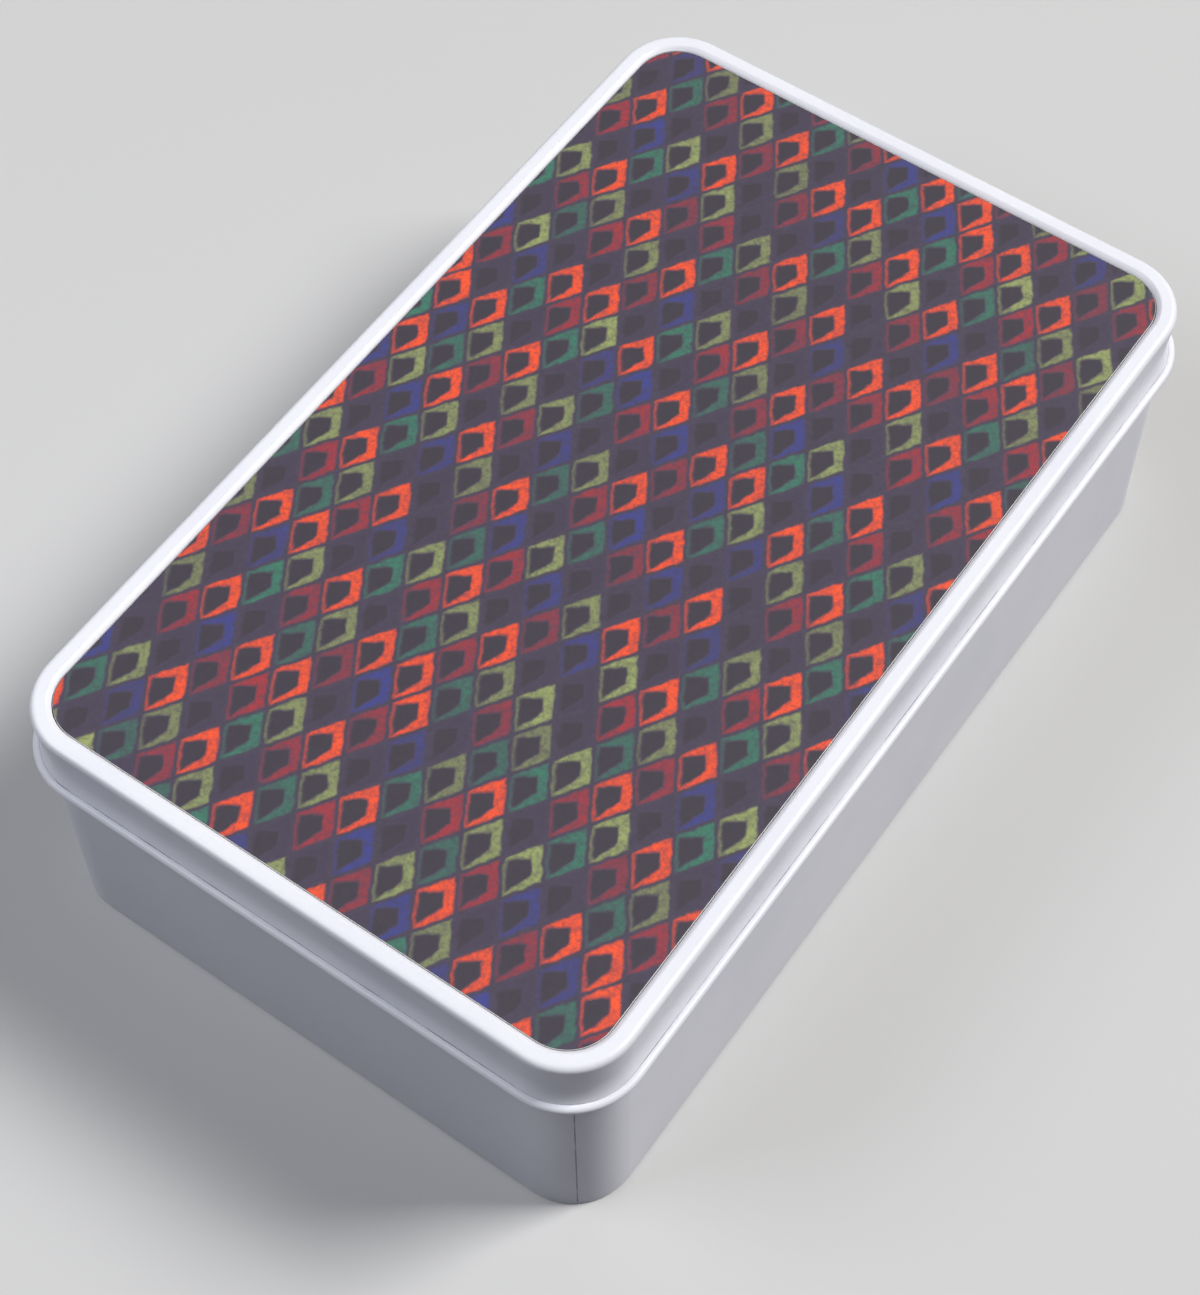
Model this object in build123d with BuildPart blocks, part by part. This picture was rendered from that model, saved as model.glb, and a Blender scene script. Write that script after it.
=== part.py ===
"""Rectangular tinplate game tin with a hinged lid.

Millimetres. The origin is at the middle of the underside: +X along the length, -Y is the front, +Y the
hinge side and +Z up. Every rolled profile is drawn as (outset from the straight wall's outer face, height)
on a plane at the middle of the front, and swept round the tin's outline. The lid is drawn closed.
"""
from build123d import *

import os
from math import acos, degrees, radians, tan

# Outline of the straight wall
BODY_LENGTH = 190.0
BODY_WIDTH = 117.0
CORNER_RADIUS = 11.7
RIM_TOP = 57.2  # height of the closed tin

# Sheet and plate
SHEET = 0.30  # tinplate with its lacquer
INSERT_THICKNESS = 0.50
ADHESIVE_THICKNESS = 0.10

# Foot of the wall: a hem rolled inwards, whose channel holds the base panel's flange
HEM_WIDTH = 2.20
HEM_HEIGHT = 3.40
HEM_CHAMFER = 0.35  # at the foot of the wall
FLANGE_FIT = 0.05
FLANGE_DEPTH = 2.20
BASE_STEP_INSET = 6.0
BASE_STEP_RUN = 1.20
BASE_STEP_RISE = 0.85

# Shoulder, neck and mouth of the wall, under the lid
NECK_INSET = 0.80
SHOULDER_RISE = 0.80
SHOULDER_BEND = 0.80
SHOULDER_TO_HINGE = 0.70  # from the shoulder's top to the root of the hinge tongues
MOUTH_RADIUS = 1.10  # of the wall's top edge, turned inwards and down
MOUTH_STRIPS = 6  # flat strips that stand for its half round
MOUTH_LEG = 0.90
MOUTH_TO_LID = 0.30  # air between the mouth and the lid's panel

# Lap-welded side seam, in the corner between the front and the left side
SEAM_ANGLE = 219
SEAM_GROOVE_WIDTH = 0.30
SEAM_GROOVE_DEPTH = 0.14
SEAM_LAP = 2.60

# Lid: recessed panel, raised rim, cove, skirt and the bead rolled outwards from its edge
PANEL_DEPTH = 1.70  # from the rim's top to the insert's face
RIM_FOOT_INSET = 2.75
RIM_INNER_INSET = 2.55
RIM_OUTSET = 0.75
RIM_INNER_BEND = 0.60
RIM_OUTER_BEND = 1.20
COVE_OUTSET = 0.05  # of the cove's throat
COVE_DROP = 9.80  # of its throat, from the rim's top
COVE_BEND = 9.00
SKIRT_LENGTH = 0.90  # straight part above the bead's centre
BEAD_RADIUS = 0.80
BEAD_OUTSET = 1.40  # of the bead's centre, which is the hinge axis at the back
BEAD_DROP = 12.80  # of the bead's centre, from the rim's top

# Printed insert plate in the lid's recess
INSERT_FIT = 0.05  # from the foot of the rim
ADHESIVE_INSET = 0.50  # from the insert's edge

# Drawing of the panels and bends
RING_OVERLAP = 2.0  # of a panel's swept edge with its flat field
BEND_CHAMFER = 0.65  # inside a bend, as a share of the run of its inner radius

# Hinges: tongues of the wall rolled round wires that lie in the lid's bead
HINGE_TO_END = 45.0  # from the middle of each hinge to the end of the straight wall
TONGUE_WIDTH = 14.0
TONGUE_ROLL = 250
TONGUE_BEND = 0.50
TONGUE_KERF = 0.20  # slot that the punch leaves beside the tongue
TONGUE_SIDE_GAP = 0.60  # between the tongue and the cut ends of the lid's bead
TONGUE_ROLL_GAP = 0.55  # between the roll and the lid's skirt above it
HINGE_FIT = 0.05  # radial, between the wire and what wraps it
WIRE_GRIP = 11.0  # length of wire inside the bead at each end

# Values that follow from those above
HALF_LENGTH = BODY_LENGTH / 2
HALF_WIDTH = BODY_WIDTH / 2
HALF_SHEET = SHEET / 2
BORE_RADIUS = BEAD_RADIUS - SHEET
WIRE_RADIUS = BORE_RADIUS - HINGE_FIT
WIRE_LENGTH = TONGUE_WIDTH + 2 * (TONGUE_SIDE_GAP + WIRE_GRIP)
HINGE_XS = (-HALF_LENGTH + HINGE_TO_END, HALF_LENGTH - HINGE_TO_END)
BEAD_HEIGHT = RIM_TOP - BEAD_DROP
ROLL_RADIUS = BEAD_RADIUS - HALF_SHEET
WINDOW_FOOT = BEAD_HEIGHT - ROLL_RADIUS - TONGUE_BEND
SHOULDER_TOP = WINDOW_FOOT - SHOULDER_TO_HINGE
SHOULDER_FOOT = SHOULDER_TOP - SHOULDER_RISE
INSERT_INSET = RIM_FOOT_INSET + INSERT_FIT
INSERT_FACE = RIM_TOP - PANEL_DEPTH
INSERT_BACK = INSERT_FACE - INSERT_THICKNESS
PANEL_TOP = INSERT_BACK - ADHESIVE_THICKNESS
MOUTH_TOP = PANEL_TOP - SHEET - MOUTH_TO_LID
LID_RING = RIM_FOOT_INSET + RING_OVERLAP
BASE_RIM_TOP = HEM_HEIGHT + SHEET
BASE_FIELD_TOP = BASE_RIM_TOP + BASE_STEP_RISE
BASE_FIELD_INSET = BASE_STEP_INSET + BASE_STEP_RUN
BASE_RING = BASE_FIELD_INSET + RING_OVERLAP

# At the middle of the front: local x points out of the tin, local y points up
SECTION = Plane(origin=(0, -HALF_WIDTH, 0), x_dir=(0, -1, 0), z_dir=(-1, 0, 0))

# Across the hinges: local x points out at the back, local y points up
BACK_SECTION = Plane(origin=(0, HALF_WIDTH, 0), x_dir=(0, 1, 0), z_dir=(1, 0, 0))

# The tin's outline, from the middle of the front round the left side to the back, and on to the front
with BuildLine() as outline:
    for side_x in (-HALF_LENGTH, HALF_LENGTH):
        near_y = -HALF_WIDTH if side_x < 0 else HALF_WIDTH
        FilletPolyline(
            (0, near_y),
            (side_x, near_y),
            (side_x, -near_y),
            (0, -near_y),
            radius=CORNER_RADIUS,
        )
OUTLINE = outline.wire()


def inset_outline(inset):
    """Rounded rectangle that lies this far inside the straight wall's outer face."""
    RectangleRounded(BODY_LENGTH - 2 * inset, BODY_WIDTH - 2 * inset, CORNER_RADIUS - inset)


def sheet_back(face, bends=None):
    """Corners of the sheet's other face, one sheet to the right of the line through these corners.

    The bends are outer radii by corner number. Inside each, a chamfer stands for the inner radius.
    """
    bends = bends or {}
    runs = [(Vector(end) - Vector(start)).normalized() for start, end in zip(face, face[1:])]
    normals = [Vector(run.Y, -run.X) for run in runs]
    corners = [Vector(face[0]) + normals[0] * SHEET]
    for number in range(1, len(runs)):
        before, after = normals[number - 1], normals[number]
        half_turn = before.get_angle(after) / 2
        mitre = Vector(face[number]) + (before + after) * (SHEET / (1 + before.dot(after)))
        inner_radius = max(bends.get(number, 0) - SHEET, 0)
        cut = BEND_CHAMFER * inner_radius * tan(radians(half_turn))
        if cut > 0:
            corners.append(mitre - runs[number - 1] * cut)
            corners.append(mitre + runs[number] * cut)
        else:
            corners.append(mitre)
    corners.append(Vector(face[-1]) + normals[-1] * SHEET)
    return corners


def tuck_angle(radius):
    """Angle at a bead's centre between the sheet that it rolls from and where its edge meets that sheet."""
    return degrees(acos((radius - SHEET) / radius))


def finish(part, name):
    """Names a finished piece and writes it."""
    part.label = name
    export_step(part, f"parts/{name}.step")


os.makedirs("parts", exist_ok=True)

# ---------------------------------------------------------------- body wall
with BuildPart() as body_wall:
    # One strip of sheet: hem at the floor, straight wall, shoulder, neck and the mouth turned inwards
    with BuildSketch(SECTION):
        with BuildLine():
            turn_height = MOUTH_TOP - MOUTH_RADIUS
            wall_face = [
                (-NECK_INSET, turn_height),
                (-NECK_INSET, SHOULDER_TOP),
                (0, SHOULDER_FOOT),
                (0, HEM_CHAMFER),
                (-HEM_CHAMFER, 0),
                (-HEM_WIDTH, 0),
                (-HEM_WIDTH, HEM_HEIGHT),
            ]
            outside = FilletPolyline(*wall_face, radius=[0, SHOULDER_BEND, 0, 0, 0])
            turn_centre = Vector(-NECK_INSET - MOUTH_RADIUS, turn_height)
            turn_arm = Vector(MOUTH_RADIUS, 0)
            turn_angles = [180 * strip / MOUTH_STRIPS for strip in range(MOUTH_STRIPS + 1)]
            mouth = Polyline(*[turn_centre + turn_arm.rotate(Axis.Z, angle) for angle in turn_angles])
            inside = Polyline(
                mouth @ 1,
                mouth @ 1 - (0, MOUTH_LEG),
                (-NECK_INSET - SHEET, turn_height - MOUTH_LEG),
                *sheet_back(wall_face)[1:],
            )
            Line(inside @ 1, outside @ 1)
        make_face()
    sweep(path=OUTLINE)

    # The windows that the hinge tongues are punched out of
    roll_length = BEAD_OUTSET + NECK_INSET + radians(TONGUE_ROLL) * ROLL_RADIUS
    with BuildSketch(Plane.XZ.offset(-HALF_WIDTH + NECK_INSET + 2 * SHEET)):
        with Locations(*[(hinge_x, WINDOW_FOOT) for hinge_x in HINGE_XS]):
            Rectangle(TONGUE_WIDTH + 2 * TONGUE_KERF, roll_length, align=(Align.CENTER, Align.MIN))
    extrude(amount=-3 * SHEET, mode=Mode.SUBTRACT)

    # The tongues, bent out through the lid's bead and rolled round the wires
    for hinge_x in HINGE_XS:
        with BuildSketch(BACK_SECTION.offset(hinge_x - TONGUE_WIDTH / 2)):
            with BuildLine():
                tongue = FilletPolyline(
                    (-NECK_INSET - HALF_SHEET, WINDOW_FOOT - SHEET),
                    (-NECK_INSET - HALF_SHEET, BEAD_HEIGHT - ROLL_RADIUS),
                    (BEAD_OUTSET, BEAD_HEIGHT - ROLL_RADIUS),
                    radius=TONGUE_BEND,
                )
                JernArc(start=tongue @ 1, tangent=(1, 0), radius=ROLL_RADIUS, arc_size=TONGUE_ROLL)
            trace(line_width=SHEET)
        extrude(amount=TONGUE_WIDTH)

    # Side seam: the lapped edge inside, and its fine line outside
    seam_centre = (-HALF_LENGTH + CORNER_RADIUS, -HALF_WIDTH + CORNER_RADIUS)
    seam_top = SHOULDER_FOOT - SHOULDER_BEND
    lap_radius = CORNER_RADIUS - SHEET - HALF_SHEET
    lap_angle = degrees(SEAM_LAP / lap_radius)
    with BuildSketch(Plane.XY.offset(BASE_RIM_TOP)):
        with BuildLine():
            CenterArc(seam_centre, lap_radius, SEAM_ANGLE - lap_angle / 2, lap_angle)
        trace(line_width=SHEET)
    extrude(amount=seam_top - BASE_RIM_TOP)
    with BuildSketch(Plane.XY.offset(HEM_CHAMFER)):
        with Locations(seam_centre):
            with PolarLocations(CORNER_RADIUS, 1, start_angle=SEAM_ANGLE):
                Rectangle(2 * SEAM_GROOVE_DEPTH, SEAM_GROOVE_WIDTH)
    extrude(amount=seam_top - HEM_CHAMFER, mode=Mode.SUBTRACT)
finish(body_wall.part, "body_wall")

# --------------------------------------------------------------- base panel
with BuildPart() as base_panel:
    # Flange in the wall's hem, a rim that rests on the hem's leg, and a step that stiffens the field
    with BuildSketch(SECTION):
        with BuildLine():
            flange_face = -SHEET - FLANGE_FIT
            panel_face = [
                (-BASE_RING, BASE_FIELD_TOP),
                (-BASE_FIELD_INSET, BASE_FIELD_TOP),
                (-BASE_STEP_INSET, BASE_RIM_TOP),
                (flange_face, BASE_RIM_TOP),
                (flange_face, BASE_RIM_TOP - FLANGE_DEPTH),
            ]
            Polyline(*panel_face, *reversed(sheet_back(panel_face)), close=True)
        make_face()
    sweep(path=OUTLINE)
    with BuildSketch(Plane.XY.offset(BASE_FIELD_TOP)):
        inset_outline(BASE_RING)
    extrude(amount=-SHEET)
finish(base_panel.part, "base_panel")

# ---------------------------------------------------------------- lid shell
with BuildPart() as lid_shell:
    # Drawn from one sheet: recess, raised rim, cove, skirt and the edge rolled outwards into a bead
    with BuildSketch(SECTION):
        with BuildLine():
            skirt_outset = BEAD_OUTSET - BEAD_RADIUS + SHEET
            lid_face = [
                (-LID_RING, PANEL_TOP),
                (-RIM_FOOT_INSET, PANEL_TOP),
                (-RIM_INNER_INSET, RIM_TOP),
                (RIM_OUTSET, RIM_TOP),
                (COVE_OUTSET, RIM_TOP - COVE_DROP),
                (skirt_outset, BEAD_HEIGHT + SKIRT_LENGTH),
            ]
            tuck = tuck_angle(BEAD_RADIUS)
            bead = CenterArc((BEAD_OUTSET, BEAD_HEIGHT), BEAD_RADIUS, 180 - tuck, tuck - 360)
            outside = FilletPolyline(
                *lid_face,
                bead @ 0,
                radius=[0, RIM_INNER_BEND, RIM_OUTER_BEND, COVE_BEND, 0],
            )
            lid_bends = {2: RIM_INNER_BEND, 3: RIM_OUTER_BEND, 4: COVE_BEND}
            inside = Polyline(*sheet_back([*lid_face, (skirt_outset, BEAD_HEIGHT)], lid_bends))
            Line(inside @ 0, outside @ 0)
        make_face()
    sweep(path=OUTLINE)
    with BuildSketch(Plane.XY.offset(PANEL_TOP)):
        inset_outline(LID_RING)
    extrude(amount=-SHEET)

    # The bead is cut away where the tongues come through, and bored for the wires beside them
    notch_top = BEAD_HEIGHT + BEAD_RADIUS + TONGUE_ROLL_GAP
    notch_foot = BEAD_HEIGHT - 2 * BEAD_RADIUS
    with BuildSketch(Plane.XZ.offset(-HALF_WIDTH + NECK_INSET)):
        with Locations(*[(hinge_x, notch_foot) for hinge_x in HINGE_XS]):
            Rectangle(
                TONGUE_WIDTH + 2 * TONGUE_SIDE_GAP,
                notch_top - notch_foot,
                align=(Align.CENTER, Align.MIN),
            )
    extrude(amount=-(NECK_INSET + BEAD_OUTSET + 2 * BEAD_RADIUS), mode=Mode.SUBTRACT)
    for hinge_x in HINGE_XS:
        with BuildSketch(BACK_SECTION.offset(hinge_x - WIRE_LENGTH / 2)):
            with Locations((BEAD_OUTSET, BEAD_HEIGHT)):
                Circle(BORE_RADIUS)
        extrude(amount=WIRE_LENGTH, mode=Mode.SUBTRACT)
finish(lid_shell.part, "lid_shell")

# ------------------------------------------------- printed insert and its adhesive
with BuildPart() as insert_panel:
    with BuildSketch(Plane.XY.offset(INSERT_BACK)):
        inset_outline(INSERT_INSET)
    extrude(amount=INSERT_THICKNESS)
finish(insert_panel.part, "insert_panel")

with BuildPart() as insert_adhesive:
    with BuildSketch(Plane.XY.offset(PANEL_TOP)):
        inset_outline(INSERT_INSET + ADHESIVE_INSET)
    extrude(amount=ADHESIVE_THICKNESS)
finish(insert_adhesive.part, "insert_adhesive")

# -------------------------------------------------------------- hinge wires
for side, hinge_x in zip(("left", "right"), HINGE_XS):
    with BuildPart() as hinge_wire:
        with BuildSketch(BACK_SECTION.offset(hinge_x - WIRE_LENGTH / 2)):
            with Locations((BEAD_OUTSET, BEAD_HEIGHT)):
                Circle(WIRE_RADIUS)
        extrude(amount=WIRE_LENGTH)
    finish(hinge_wire.part, f"hinge_wire_{side}")
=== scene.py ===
"""Looks of the hinged game tin: lacquer, print and steel, studio light, floor and camera. Metres throughout."""

from math import cos, radians, sin

import bmesh
import bpy
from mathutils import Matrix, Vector


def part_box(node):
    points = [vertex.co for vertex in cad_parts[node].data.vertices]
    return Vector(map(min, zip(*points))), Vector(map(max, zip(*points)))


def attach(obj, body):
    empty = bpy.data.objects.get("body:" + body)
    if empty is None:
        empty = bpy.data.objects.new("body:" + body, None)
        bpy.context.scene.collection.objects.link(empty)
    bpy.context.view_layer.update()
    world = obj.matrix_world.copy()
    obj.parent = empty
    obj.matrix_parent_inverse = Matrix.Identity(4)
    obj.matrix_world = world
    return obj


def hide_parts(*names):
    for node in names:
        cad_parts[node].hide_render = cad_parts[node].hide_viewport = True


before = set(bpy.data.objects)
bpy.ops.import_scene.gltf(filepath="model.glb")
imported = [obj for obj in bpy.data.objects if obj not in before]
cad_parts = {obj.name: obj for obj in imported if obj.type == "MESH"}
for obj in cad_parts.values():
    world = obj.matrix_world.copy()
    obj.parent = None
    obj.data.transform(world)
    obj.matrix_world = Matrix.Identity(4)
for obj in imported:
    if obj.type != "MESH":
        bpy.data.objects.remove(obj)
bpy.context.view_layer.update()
MM = 0.001
TIN_LOW, TIN_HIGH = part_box("body_wall")
LID_LOW, LID_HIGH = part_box("lid_shell")
PLATE_LOW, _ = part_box("insert_panel")

# Outline of the straight wall, which every swept form follows
HALF_LENGTH = TIN_HIGH.x
HALF_WIDTH = -TIN_LOW.y
CORNER_RADIUS = 11.7 * MM
CORNER_STEPS = 32  # facets in each corner of a form carried round the outline
SHARP_ANGLE = 35  # degrees between two facets, above which their edge stays sharp

# Lid's rolled edge: heights, and how far its parts stand outside the wall's outline
BEAD_RADIUS = 0.80 * MM
BEAD_HEIGHT = LID_LOW.z + BEAD_RADIUS
BEAD_TOP = BEAD_HEIGHT + BEAD_RADIUS
BEAD_FACE = (2.00 * MM, 2.15 * MM)  # its outermost face starts at the first and is full at the second
CREASE_OUTSET = 0.90 * MM
CREASE_HEIGHT = BEAD_HEIGHT + 0.62 * MM

# Wall's lapped seam, on the corner between the front and the left side
SEAM_ANGLE = 219  # degrees round the corner's centre, from the X axis
SEAM_REACH = 0.05 * MM
SEAM_SOFT = 0.09 * MM
SEAM_FOOT = (0.3 * MM, 1.5 * MM)  # heights over which it fades in above the foot
SHEET_MIDDLE = -0.45 * MM  # wall and neck, inside and out, stand about this far outside the outline
SHEET_REACH = 0.85 * MM

# Cut edges of the sheet at the hinge windows
FACING = 0.9  # how squarely a face has to look along an axis to count as facing that way
BACK_DEPTH = 1.5 * MM  # how far in front of the back wall's face they still lie
LID_CUT_RISE = 2 * MM  # how far above the bead they reach on the lid
WALL_CUT_BELOW = 1 * MM  # how far below and above the lid's foot they reach on the wall
WALL_CUT_ABOVE = 5 * MM

# Shoulder that eases the rim's flat top down to the insert: insets from the wall's face, drops from the rim's top
SHOULDER_START = 1.95 * MM
SHOULDER_FOOT = 2.98 * MM
SHOULDER_DROP = 0.66 * MM
SHOULDER_POWER = 1.8  # 1 gives a straight slope, more a slope that steepens towards its foot
SHOULDER_STEPS = 14
UNDER_START_DROP = 0.12 * MM  # the shoulder's underside lies hidden in the rim's bend and upright inner wall
UNDER_BEND = (2.40 * MM, 0.50 * MM)
UNDER_WALL_INSET = 2.70 * MM
INSERT_INSET = 3.20 * MM
INSERT_DROP = 0.68 * MM
INSERT_CHAMFER = 0.06 * MM

# Camera: a little over half a metre away, above the corner with the side seam
CAMERA_PLACE = (-0.2256, -0.1571, 0.4446)
CAMERA_TURN = (32.116, 0.435, -54.733)  # degrees, XYZ
CAMERA_LENS = 76.80  # mm, as the sensor's width
SENSOR_WIDTH = 36.0
CLIP_START = 0.01

# Soft lights: direction and distance from the tin, size and power. Surround: its strength on the tin, and as seen
KEY_AIM, KEY_REACH, KEY_SIZE, KEY_POWER = (0.7, -0.7, 1.2), 3.0, 1.0, 85
FILL_AIM, FILL_REACH, FILL_SIZE, FILL_POWER = (-0.7, 0.7, 1.2), 1.0, 0.53, 3.7
FILL_COLOUR = (0.93, 0.97, 1.07)
SURROUND_LIGHT = 0.08
SURROUND_SEEN = 0.80
FLOOR_SIZE = 12
FLOOR_FADE = (0.4, 1.8)  # metres from the tin over which the floor runs into the surround

# Colours as sRGB, 0 to 255
LACQUER = (239, 239, 244)
LACQUER_SHADE = (233, 233, 240)
# dark line of the side seam, and painted shade in the lid's crease
SEAM_LINE_AND_CREASE_SHADE = (104, 98, 126)
# bare tinplate at the worn foot, and the grey of the base's painted shade
TINPLATE_AND_BASE_SHADE = (196, 197, 200)
TINPLATE_WORN = (150, 150, 156)
WIRE_STEEL = (176, 177, 181)
WIRE_STAIN = (48, 42, 50)
ADHESIVE = (214, 211, 200)
CARD = (228, 225, 222)
FLOOR = (208, 207, 205)
FLOOR_BOUNCE = (67, 70, 88)
GROUND = (69, 60, 79)
GROUND_DEEP = (48, 42, 50)
# dark flecks of the print, and painted shade along the insert's edge
PRINT_DARK_AND_EDGE_SHADE = (38, 32, 36)
PRINT_COLOURS = (
    (255, 90, 48),
    (152, 162, 102),
    (58, 64, 136),
    (164, 50, 58),
    (56, 122, 98),
    (60, 52, 72),
)
PRINT_SHARES = (0.0, 0.20, 0.36, 0.47, 0.63, 0.77)  # where each colour starts
LOZENGE_LENGTH = 12.6 * MM
LOZENGE_WIDTH = 8.0 * MM
LOZENGE_POWER = 1.08  # 1 gives sharp corners, 2 an ellipse
COLOUR_STEPS = (1.325, 0.185)  # how far one lozenge along, and one across, steps through the colours
COLOUR_STRAY = 0.15  # how far chance moves a lozenge on through the colours
WAVER_GRAIN = 2.2 * MM
WAVER_REACH = 0.9 * MM

# Brush stroke round a lozenge, as its reach from the middle, where about 0.5 meets the next lozenge
STROKE_START = 0.27
STROKE_LEAN = -0.33  # moves the start, so that the stroke is broad on one side and thin on the other
STROKE_SOFT = (-0.06, 0.05)  # fades in over this much round its start
STROKE_END = (0.47, 0.385)  # from bare ground to full ink
CENTRE_SOFT = (0.0, -0.08)  # darkening of the middle, inside the stroke's start
INSERT_EDGE_SHADE = (-0.22 * MM, -0.08 * MM)  # painted shade: darkening along the insert's edge, where the rim shades it, measured from that edge
INSERT_TOP = 0.8  # faces that look up less than this are the bare edge of the insert


def srgb(colour):
    """Linear RGBA of an sRGB colour given from 0 to 255."""
    steps = [value / 255 for value in colour]
    return tuple(v / 12.92 if v <= 0.04045 else ((v + 0.055) / 1.055) ** 2.4 for v in steps) + (1,)


class Nodes:
    """A material's node tree, built by short calls that take numbers or other nodes' outputs."""

    def __init__(self, name):
        self.material = bpy.data.materials.new(name)
        self.material.use_nodes = True
        self.tree = self.material.node_tree
        self.shader = self.tree.nodes["Principled BSDF"]
        self.object_place = self.add("ShaderNodeTexCoord").outputs["Object"]

    def add(self, kind, settings=None, **inputs):
        """A node of this kind, with its settings and its inputs by name."""
        node = self.tree.nodes.new(kind)
        for name, value in (settings or {}).items():
            setattr(node, name, value)
        for name, value in inputs.items():
            self.join(value, node.inputs[name.replace("_", " ")])
        return node

    def join(self, value, socket):
        """Links another node's output to the socket, or sets the socket's own value."""
        if isinstance(value, bpy.types.NodeSocket):
            self.tree.links.new(value, socket)
        else:
            socket.default_value = value

    def math(self, operation, *values, clamp=False):
        """One of Blender's maths operations on numbers or outputs."""
        node = self.add("ShaderNodeMath", {"operation": operation, "use_clamp": clamp})
        for value, socket in zip(values, node.inputs):
            self.join(value, socket)
        return node.outputs[0]

    def product(self, first, *others):
        """All the values multiplied together."""
        for other in others:
            first = self.math("MULTIPLY", first, other)
        return first

    def fade(self, value, start, end):
        """0 where the value is at start, 1 where it is at end, and smooth between them."""
        node = self.add("ShaderNodeMapRange", {"interpolation_type": "SMOOTHSTEP"}, Value=value)
        node.inputs["From Min"].default_value = start
        node.inputs["From Max"].default_value = end
        return node.outputs["Result"]

    def near(self, value, middle, reach, soft):
        """1 within reach of the middle, falling to 0 over soft beyond it."""
        distance = self.math("ABSOLUTE", self.math("SUBTRACT", value, middle))
        return self.fade(distance, reach + soft, reach)

    def spread(self, value, low, high):
        """The value's range from 0 to 1 stretched over low to high."""
        node = self.add("ShaderNodeMapRange", Value=value)
        node.inputs["To Min"].default_value = low
        node.inputs["To Max"].default_value = high
        return node.outputs["Result"]

    def mix(self, share, first, second):
        """First colour where the share is 0, second where it is 1."""
        node = self.add("ShaderNodeMix", {"data_type": "RGBA"})
        for value, socket in ((share, 0), (first, 6), (second, 7)):
            self.join(value, node.inputs[socket])
        return node.outputs[2]

    def choose(self, share, first, second):
        """First number where the share is 0, second where it is 1."""
        node = self.add("ShaderNodeMix", {"data_type": "FLOAT"})
        for value, socket in ((share, 0), (first, 2), (second, 3)):
            self.join(value, node.inputs[socket])
        return node.outputs[0]

    def place(self, scale):
        """The object's own place, scaled along X, Y and Z."""
        return self.add("ShaderNodeMapping", Vector=self.object_place, Scale=scale).outputs["Vector"]

    def noise(self, grain, detail=2.0, rough=0.5, where=None):
        """Noise whose grain is about this size in metres."""
        node = self.add(
            "ShaderNodeTexNoise",
            Vector=where or self.object_place,
            Scale=1 / grain,
            Detail=detail,
            Roughness=rough,
        )
        return node.outputs["Fac"]

    def axes(self, where=None):
        """X, Y and Z of the object's own place, or of another place."""
        node = self.add("ShaderNodeSeparateXYZ", Vector=where or self.object_place)
        return node.outputs["X"], node.outputs["Y"], node.outputs["Z"]

    def outset(self):
        """How far a point stands outside the straight wall's outline, seen from above."""
        x, y, _ = self.axes()
        past_x = self.math("SUBTRACT", self.math("ABSOLUTE", x), HALF_LENGTH - CORNER_RADIUS)
        past_y = self.math("SUBTRACT", self.math("ABSOLUTE", y), HALF_WIDTH - CORNER_RADIUS)
        out_x, out_y = self.math("MAXIMUM", past_x, 0), self.math("MAXIMUM", past_y, 0)
        round_part = self.math("SQRT", self.math("ADD", self.product(out_x, out_x), self.product(out_y, out_y)))
        flat_part = self.math("MINIMUM", self.math("MAXIMUM", past_x, past_y), 0)
        return self.math("SUBTRACT", self.math("ADD", round_part, flat_part), CORNER_RADIUS)

    def sheared(self, lowest, highest):
        """1 on the cut edges of the sheet at the hinge windows, along the straight back wall."""
        normal = self.add("ShaderNodeTexCoord").outputs["Normal"]
        normal_x, _, normal_z = self.axes(normal)
        x, y, z = self.axes()
        sideways = self.math("GREATER_THAN", self.math("ABSOLUTE", normal_x), FACING)
        downward = self.math("LESS_THAN", normal_z, -FACING)
        on_back = self.math("GREATER_THAN", y, HALF_WIDTH - BACK_DEPTH)
        on_straight = self.math("LESS_THAN", self.math("ABSOLUTE", x), HALF_LENGTH - CORNER_RADIUS)
        level = self.product(self.math("GREATER_THAN", z, lowest), self.math("LESS_THAN", z, highest))
        return self.product(self.math("MAXIMUM", sideways, downward), on_back, on_straight, level)

    def bump(self, height, depth, under=None):
        """A bump of this height field, whose whole range stands for this depth in metres, on top of another."""
        node = self.add("ShaderNodeBump", Height=height, Distance=depth, Strength=1.0)
        if under:
            self.join(under, node.inputs["Normal"])
        return node.outputs["Normal"]

    def finish(self, **inputs):
        """Sets the shader's inputs and returns the material."""
        for name, value in inputs.items():
            self.join(value, self.shader.inputs[name.replace("_", " ")])
        return self.material


def lacquer_tones(nodes):
    """White lacquer's slight unevenness: colour, roughness and the normal that they share."""
    cloud = nodes.noise(30 * MM, detail=3)
    colour = nodes.mix(nodes.fade(cloud, 0.35, 0.75), srgb(LACQUER), srgb(LACQUER_SHADE))
    # Hairline rub marks, long and thin and lying two ways, only dull the gloss
    drawn_out = nodes.place((0.04, 1, 1))
    rub_along = nodes.fade(nodes.noise(0.5 * MM, detail=2, where=drawn_out), 0.66, 0.74)
    drawn_out = nodes.place((1, 0.04, 1))
    rub_across = nodes.fade(nodes.noise(0.5 * MM, detail=2, where=drawn_out), 0.68, 0.76)
    rubs = nodes.math("MAXIMUM", rub_along, rub_across)
    satin = nodes.spread(nodes.noise(6 * MM, detail=4, rough=0.6), 0.30, 0.44)
    roughness = nodes.math("ADD", satin, nodes.product(rubs, 0.12))
    slack = nodes.bump(nodes.noise(45 * MM, detail=1), depth=0.06 * MM)
    peel = nodes.bump(nodes.noise(0.9 * MM, detail=2), depth=0.004 * MM, under=slack)
    return colour, roughness, peel


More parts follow.
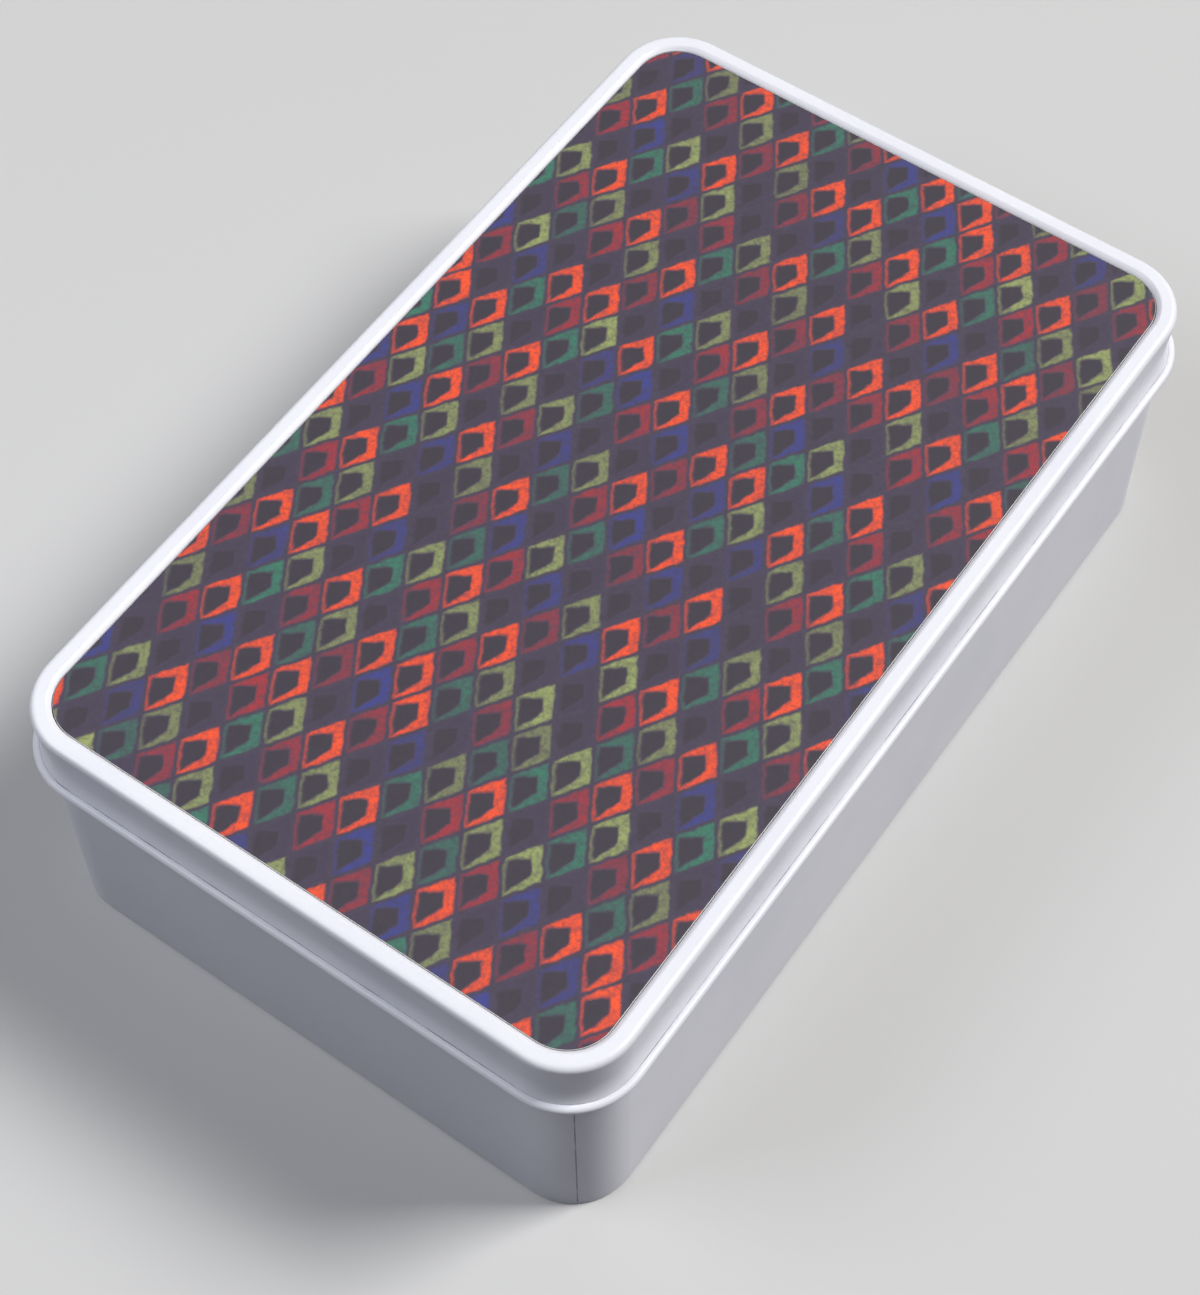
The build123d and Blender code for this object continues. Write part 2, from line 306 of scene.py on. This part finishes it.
def lid_lacquer():
    """Lacquer of the lid, with painted shade: a broken dark line in the crease where its edge rolls back against
    the skirt.
    """
    nodes = Nodes("lid_lacquer")
    colour, roughness, normal = lacquer_tones(nodes)
    _, _, z = nodes.axes()
    # Painted shade: a broken dark line in the crease, where the rolled edge tucks against the skirt
    in_crease = nodes.product(
        nodes.near(nodes.outset(), CREASE_OUTSET, reach=0.05 * MM, soft=0.08 * MM),
        nodes.near(z, CREASE_HEIGHT, reach=0.05 * MM, soft=0.10 * MM),
    )
    broken = nodes.fade(nodes.noise(9 * MM, detail=3, rough=0.65), 0.46, 0.62)
    line = nodes.product(in_crease, nodes.spread(broken, 0.35, 0.85))
    colour = nodes.mix(line, colour, srgb(SEAM_LINE_AND_CREASE_SHADE))
    nicked = nodes.product(
        nodes.fade(nodes.outset(), *BEAD_FACE),
        nodes.fade(nodes.noise(0.9 * MM, detail=4, rough=0.7), 0.66, 0.72),
        nodes.fade(nodes.noise(14 * MM, detail=2), 0.45, 0.60),
    )
    colour = nodes.mix(nodes.product(nicked, 0.55), colour, srgb(TINPLATE_WORN))
    colour = nodes.mix(nodes.sheared(BEAD_TOP, BEAD_TOP + LID_CUT_RISE), colour, srgb(TINPLATE_WORN))
    return nodes.finish(Base_Color=colour, Roughness=roughness, Normal=normal)


def body_lacquer():
    """Lacquer of the wall, with the side seam's dark line and worn lower edge."""
    nodes = Nodes("body_lacquer")
    colour, roughness, normal = lacquer_tones(nodes)
    x, y, z = nodes.axes()
    seam_angle = radians(SEAM_ANGLE)
    from_centre_x = nodes.math("ADD", x, HALF_LENGTH - CORNER_RADIUS)
    from_centre_y = nodes.math("ADD", y, HALF_WIDTH - CORNER_RADIUS)
    across = nodes.math(
        "SUBTRACT",
        nodes.product(from_centre_y, cos(seam_angle)),
        nodes.product(from_centre_x, sin(seam_angle)),
    )
    outward = nodes.math("LESS_THAN", from_centre_x, 0)
    on_seam = nodes.product(nodes.near(across, 0, SEAM_REACH, SEAM_SOFT), outward)
    on_wall = nodes.near(nodes.outset(), SHEET_MIDDLE, SHEET_REACH, soft=0.10 * MM)
    uneven = nodes.spread(nodes.fade(nodes.noise(4 * MM, detail=3), 0.3, 0.6), 0.45, 1.0)
    line = nodes.product(on_seam, on_wall, nodes.fade(z, *SEAM_FOOT), uneven)
    colour = nodes.mix(line, colour, srgb(SEAM_LINE_AND_CREASE_SHADE))
    rub_and_edge_shade = nodes.product(
        nodes.fade(z, 0.35 * MM, 0.0),
        nodes.fade(nodes.noise(1.6 * MM, detail=5, rough=0.7), 0.56, 0.66),
    )
    colour = nodes.mix(nodes.product(rub_and_edge_shade, 0.6), colour, srgb(TINPLATE_AND_BASE_SHADE))
    cut = nodes.sheared(LID_LOW.z - WALL_CUT_BELOW, LID_LOW.z + WALL_CUT_ABOVE)
    colour = nodes.mix(cut, colour, srgb(TINPLATE_WORN))
    return nodes.finish(Base_Color=colour, Roughness=roughness, Normal=normal)


def base_lacquer_with_painted_shade():
    """Lacquer of the base, greyed throughout by painted shade that tones the brightly lit base down, and scuffed
    by what the tin holds.
    """
    nodes = Nodes("base_lacquer_with_painted_shade")
    colour, roughness, normal = lacquer_tones(nodes)
    scuffed = nodes.fade(nodes.noise(18 * MM, detail=5, rough=0.65), 0.42, 0.70)
    # Painted shade: the whole base greyed by about a third tinplate, a little more where it is scuffed
    colour = nodes.mix(nodes.spread(scuffed, 0.32, 0.42), colour, srgb(TINPLATE_AND_BASE_SHADE))
    return nodes.finish(Base_Color=colour, Roughness=roughness, Normal=normal)


def nearest_lozenge(nodes, column, row, shift):
    """For one grid's nearest lozenge: reach from its middle, lean to one side, place in the colours, chance.

    A second grid, shifted by half a step both ways, fills the gaps of the first.
    """
    column, row = nodes.math("ADD", column, shift), nodes.math("ADD", row, shift)
    cell_x, cell_y = nodes.math("ROUND", column), nodes.math("ROUND", row)
    from_x, from_y = nodes.math("SUBTRACT", column, cell_x), nodes.math("SUBTRACT", row, cell_y)
    in_x = nodes.math("POWER", nodes.math("ABSOLUTE", from_x), LOZENGE_POWER)
    in_y = nodes.math("POWER", nodes.math("ABSOLUTE", from_y), LOZENGE_POWER)
    reach = nodes.math("POWER", nodes.math("ADD", in_x, in_y), 1 / LOZENGE_POWER)
    lean = nodes.math("SUBTRACT", from_x, from_y)
    along, across = COLOUR_STEPS
    order = nodes.math("ADD", nodes.product(cell_x, along), nodes.product(cell_y, across))
    order = nodes.math("SUBTRACT", order, shift * (along + across))
    grid_level = 10 * shift  # keeps the two grids' draws apart
    cell = nodes.add("ShaderNodeCombineXYZ", X=cell_x, Y=cell_y, Z=grid_level)
    draw = nodes.add("ShaderNodeTexWhiteNoise", {"noise_dimensions": "3D"}, Vector=cell.outputs[0])
    stray = nodes.product(draw.outputs["Value"], COLOUR_STRAY)
    order = nodes.math("FRACT", nodes.math("ADD", order, stray))
    return reach, lean, order, draw.outputs["Value"]


def hand_drawn_place(nodes, grain, amount):
    """The object's own place, pushed about a little so that straight strokes waver."""
    wobble = nodes.add("ShaderNodeTexNoise", Vector=nodes.object_place, Scale=1 / grain, Detail=3.0)
    centred = nodes.add("ShaderNodeVectorMath", {"operation": "SUBTRACT"})
    nodes.join(wobble.outputs["Color"], centred.inputs[0])
    centred.inputs[1].default_value = (0.5, 0.5, 0.5)
    pushed = nodes.add("ShaderNodeVectorMath", {"operation": "MULTIPLY_ADD"})
    nodes.join(centred.outputs[0], pushed.inputs[0])
    pushed.inputs[1].default_value = (amount, amount, amount)
    nodes.join(nodes.object_place, pushed.inputs[2])
    return pushed.outputs[0]


def printed_plate():
    """Satin print on the insert: brushed lozenges, corner to corner, on a dark ground."""
    nodes = Nodes("printed_plate")
    x, y, _ = nodes.axes(hand_drawn_place(nodes, WAVER_GRAIN, WAVER_REACH))
    column = nodes.math("DIVIDE", x, LOZENGE_LENGTH)
    row = nodes.math("DIVIDE", y, LOZENGE_WIDTH)
    even = nearest_lozenge(nodes, column, row, 0.0)
    odd = nearest_lozenge(nodes, column, row, 0.5)
    odd_wins = nodes.math("LESS_THAN", odd[0], even[0])
    reach, lean, order, chance = (nodes.choose(odd_wins, first, second) for first, second in zip(even, odd))

    palette = nodes.add("ShaderNodeValToRGB", Fac=order)
    palette.color_ramp.interpolation = "CONSTANT"
    marks = palette.color_ramp.elements
    while len(marks) < len(PRINT_COLOURS):
        marks.new(0.5)
    for mark, share, colour in zip(marks, PRINT_SHARES, PRINT_COLOURS):
        mark.position = share
        mark.color = srgb(colour)

    # The brush stroke is broad on one side of the lozenge and thin on the other
    start = nodes.math("MULTIPLY_ADD", lean, STROKE_LEAN, STROKE_START)
    into_stroke = nodes.math("SUBTRACT", reach, start)
    stroke = nodes.product(nodes.fade(into_stroke, *STROKE_SOFT), nodes.fade(reach, *STROKE_END))
    chalk = nodes.spread(nodes.fade(nodes.noise(0.9 * MM, detail=4, rough=0.6), 0.32, 0.60), 0.55, 1.0)
    patch = nodes.spread(nodes.noise(2.4 * MM, detail=2), 0.50, 1.25)
    bright = nodes.math("LESS_THAN", order, PRINT_SHARES[1])  # the first colour is never thin
    load = nodes.math("MAXIMUM", nodes.spread(chance, 0.55, 1.05), bright)
    ink = nodes.math("MULTIPLY", nodes.product(stroke, chalk, load), patch, clamp=True)

    mottle = nodes.fade(nodes.noise(1.1 * MM, detail=5, rough=0.7), 0.35, 0.7)
    ground = nodes.mix(nodes.product(mottle, 0.45), srgb(GROUND), srgb(GROUND_DEEP))
    centre = nodes.fade(into_stroke, *CENTRE_SOFT)
    ground = nodes.mix(nodes.product(centre, 0.8), ground, srgb(GROUND_DEEP))
    colour = nodes.mix(ink, ground, palette.outputs["Color"])
    speckle = nodes.fade(nodes.noise(0.32 * MM, detail=2, rough=0.6), 0.40, 0.66)
    colour = nodes.mix(nodes.product(speckle, 0.16), colour, srgb(PRINT_DARK_AND_EDGE_SHADE))

    # Painted shade: the print darkens along its edge, in the rim's shade
    from_edge = nodes.math("ADD", nodes.outset(), INSERT_INSET)
    rub_and_edge_shade = nodes.fade(from_edge, *INSERT_EDGE_SHADE)
    colour = nodes.mix(nodes.product(rub_and_edge_shade, 0.6), colour, srgb(PRINT_DARK_AND_EDGE_SHADE))
    _, _, normal_z = nodes.axes(nodes.add("ShaderNodeTexCoord").outputs["Normal"])
    colour = nodes.mix(nodes.math("LESS_THAN", normal_z, INSERT_TOP), colour, srgb(CARD))
    roughness = nodes.spread(nodes.noise(2.5 * MM, detail=4, rough=0.6), 0.38, 0.50)
    slack = nodes.bump(nodes.noise(60 * MM, detail=1), depth=0.10 * MM)
    grain = nodes.bump(nodes.noise(0.35 * MM, detail=2), depth=0.004 * MM, under=slack)
    return nodes.finish(Base_Color=colour, Roughness=roughness, Normal=grain)


def drawn_steel():
    """Steel wire with faint lines along it from the drawing die."""
    nodes = Nodes("drawn_steel")
    lines = nodes.noise(0.12 * MM, detail=3, where=nodes.place((0.02, 1, 1)))
    stain = nodes.fade(nodes.noise(3 * MM, detail=3), 0.45, 0.7)
    colour = nodes.mix(nodes.product(stain, 0.35), srgb(WIRE_STEEL), srgb(WIRE_STAIN))
    roughness = nodes.spread(lines, 0.22, 0.42)
    normal = nodes.bump(lines, depth=0.004 * MM)
    return nodes.finish(Base_Color=colour, Metallic=1.0, Roughness=roughness, Normal=normal)


def adhesive_film():
    """Matt film of glue under the insert."""
    nodes = Nodes("adhesive_film")
    cloud = nodes.fade(nodes.noise(4 * MM, detail=3), 0.3, 0.7)
    colour = nodes.mix(nodes.product(cloud, 0.3), srgb(ADHESIVE), srgb(LACQUER))
    return nodes.finish(Base_Color=colour, Roughness=0.7)


def paint(material, *names):
    """Gives the named CAD nodes this material in every slot."""
    for name in names:
        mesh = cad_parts[name].data
        mesh.materials.clear()
        mesh.materials.append(material)


def outline_at(inset):
    """Points of the straight wall's outline, seen from above and moved this far inwards."""
    points = []
    for quarter, (side_x, side_y) in enumerate(((1, 1), (-1, 1), (-1, -1), (1, -1))):
        centre_x = side_x * (HALF_LENGTH - CORNER_RADIUS)
        centre_y = side_y * (HALF_WIDTH - CORNER_RADIUS)
        for step in range(CORNER_STEPS + 1):
            angle = radians(90 * (quarter + step / CORNER_STEPS))
            reach = CORNER_RADIUS - inset
            points.append((centre_x + reach * cos(angle), centre_y + reach * sin(angle)))
    return points


def carried_round(name, section, material, closed):
    """Solid of a section carried round the outline. Each corner of the section is an inset and a drop.

    A closed section gives a ring. An open one is capped by a face over its first and one over its last corner.
    """
    shape = bmesh.new()
    rows = [[shape.verts.new((x, y, LID_HIGH.z - drop)) for x, y in outline_at(inset)] for inset, drop in section]
    pairs = list(zip(rows, rows[1:]))
    if closed:
        pairs.append((rows[-1], rows[0]))
    else:
        shape.faces.new(rows[0])
        shape.faces.new(rows[-1])
    for row, below in pairs:
        for number in range(len(row)):
            shape.faces.new((row[number - 1], row[number], below[number], below[number - 1]))
    bmesh.ops.recalc_face_normals(shape, faces=shape.faces)
    mesh = bpy.data.meshes.new(name)
    shape.to_mesh(mesh)
    shape.free()
    mesh.shade_smooth()
    mesh.set_sharp_from_angle(angle=radians(SHARP_ANGLE))
    mesh.materials.append(material)
    piece = bpy.data.objects.new(name, mesh)
    bpy.context.scene.collection.objects.link(piece)
    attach(piece, "lid")
    return piece


def raise_insert(lacquer):
    """The rim's sloping inner shoulder, and the printed plate that lies at its foot with a fine gap round it."""
    panel_drop = LID_HIGH.z - PLATE_LOW.z
    shares = [step / SHOULDER_STEPS for step in range(SHOULDER_STEPS + 1)]
    run = SHOULDER_FOOT - SHOULDER_START
    slope = [(SHOULDER_START + run * share, SHOULDER_DROP * share**SHOULDER_POWER) for share in shares]
    under = [
        (SHOULDER_FOOT, panel_drop),
        (UNDER_WALL_INSET, panel_drop),
        UNDER_BEND,
        (SHOULDER_START, UNDER_START_DROP),
    ]
    carried_round("rim_shoulder", slope + under, lacquer, closed=True)
    plate = [
        (INSERT_INSET + INSERT_CHAMFER, INSERT_DROP),
        (INSERT_INSET, INSERT_DROP + INSERT_CHAMFER),
        (INSERT_INSET, panel_drop),
    ]
    insert = carried_round("printed_plate", plate, printed_plate(), closed=False)
    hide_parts("insert_panel")


def dress_tin():
    """Materials of the CAD nodes, and the pieces that refine the lid's top."""
    paint(body_lacquer(), "body_wall")
    paint(base_lacquer_with_painted_shade(), "base_panel")
    lacquer = lid_lacquer()
    paint(lacquer, "lid_shell")
    raise_insert(lacquer)
    paint(adhesive_film(), "insert_adhesive")
    paint(drawn_steel(), "hinge_wire_left", "hinge_wire_right")


def add_floor():
    """Pale floor that runs into the surround. What sees it sees its own colour, and it throws back less light."""
    bpy.ops.mesh.primitive_plane_add(size=FLOOR_SIZE)
    floor = bpy.context.object
    floor.name = "floor"
    nodes = Nodes("floor")
    path = nodes.add("ShaderNodeLightPath").outputs
    seen = nodes.math("MAXIMUM", path["Is Camera Ray"], path["Is Glossy Ray"])
    colour = nodes.mix(seen, srgb(FLOOR_BOUNCE), srgb(FLOOR))
    x, y, _ = nodes.axes()
    away = nodes.math("SQRT", nodes.math("ADD", nodes.product(x, x), nodes.product(y, y)))
    far = nodes.product(nodes.fade(away, *FLOOR_FADE), seen)
    surround = nodes.add("ShaderNodeEmission", Strength=SURROUND_SEEN)
    blend = nodes.add("ShaderNodeMixShader", Fac=far)
    nodes.join(nodes.shader.outputs["BSDF"], blend.inputs[1])
    nodes.join(surround.outputs["Emission"], blend.inputs[2])
    nodes.join(blend.outputs["Shader"], nodes.tree.nodes["Material Output"].inputs["Surface"])
    floor.data.materials.append(nodes.finish(Base_Color=colour, Roughness=0.9))


def add_softbox(name, aim, reach, size, power, colour=(1, 1, 1)):
    """Square area light that faces the tin from this direction."""
    light = bpy.data.lights.new(name, "AREA")
    light.size = size
    light.energy = power
    light.color = colour
    lamp = bpy.data.objects.new(name, light)
    lamp.location = Vector((0, 0, LID_HIGH.z / 2)) + reach * Vector(aim).normalized()
    lamp.rotation_euler = (-Vector(aim)).to_track_quat("-Z", "Y").to_euler()
    bpy.context.scene.collection.objects.link(lamp)


def light_studio():
    """One large soft key light, a weaker fill opposite it, and a pale surround."""
    add_softbox("key_light", KEY_AIM, KEY_REACH, KEY_SIZE, KEY_POWER)
    add_softbox("fill_light", FILL_AIM, FILL_REACH, FILL_SIZE, FILL_POWER, FILL_COLOUR)
    world = bpy.data.worlds.new("surround")
    bpy.context.scene.world = world
    world.use_nodes = True
    nodes = world.node_tree.nodes
    links = world.node_tree.links
    path = nodes.new("ShaderNodeLightPath")
    seen = nodes.new("ShaderNodeMath")
    seen.operation = "MAXIMUM"
    links.new(path.outputs["Is Camera Ray"], seen.inputs[0])
    links.new(path.outputs["Is Glossy Ray"], seen.inputs[1])
    strength = nodes.new("ShaderNodeMapRange")
    strength.inputs["To Min"].default_value = SURROUND_LIGHT
    strength.inputs["To Max"].default_value = SURROUND_SEEN
    links.new(seen.outputs[0], strength.inputs["Value"])
    background = nodes["Background"]
    background.inputs["Color"].default_value = (1, 1, 1, 1)
    links.new(strength.outputs["Result"], background.inputs["Strength"])


def add_camera():
    """The viewing angle that the tin is shown from."""
    camera = bpy.data.cameras.new("camera")
    camera.lens = CAMERA_LENS
    camera.sensor_width = SENSOR_WIDTH
    camera.clip_start = CLIP_START
    holder = bpy.data.objects.new("camera", camera)
    holder.location = CAMERA_PLACE
    holder.rotation_euler = [radians(turn) for turn in CAMERA_TURN]
    bpy.context.scene.collection.objects.link(holder)
    bpy.context.scene.camera = holder


dress_tin()
add_floor()
light_studio()
add_camera()
bpy.context.scene.view_settings.view_transform = "Standard"
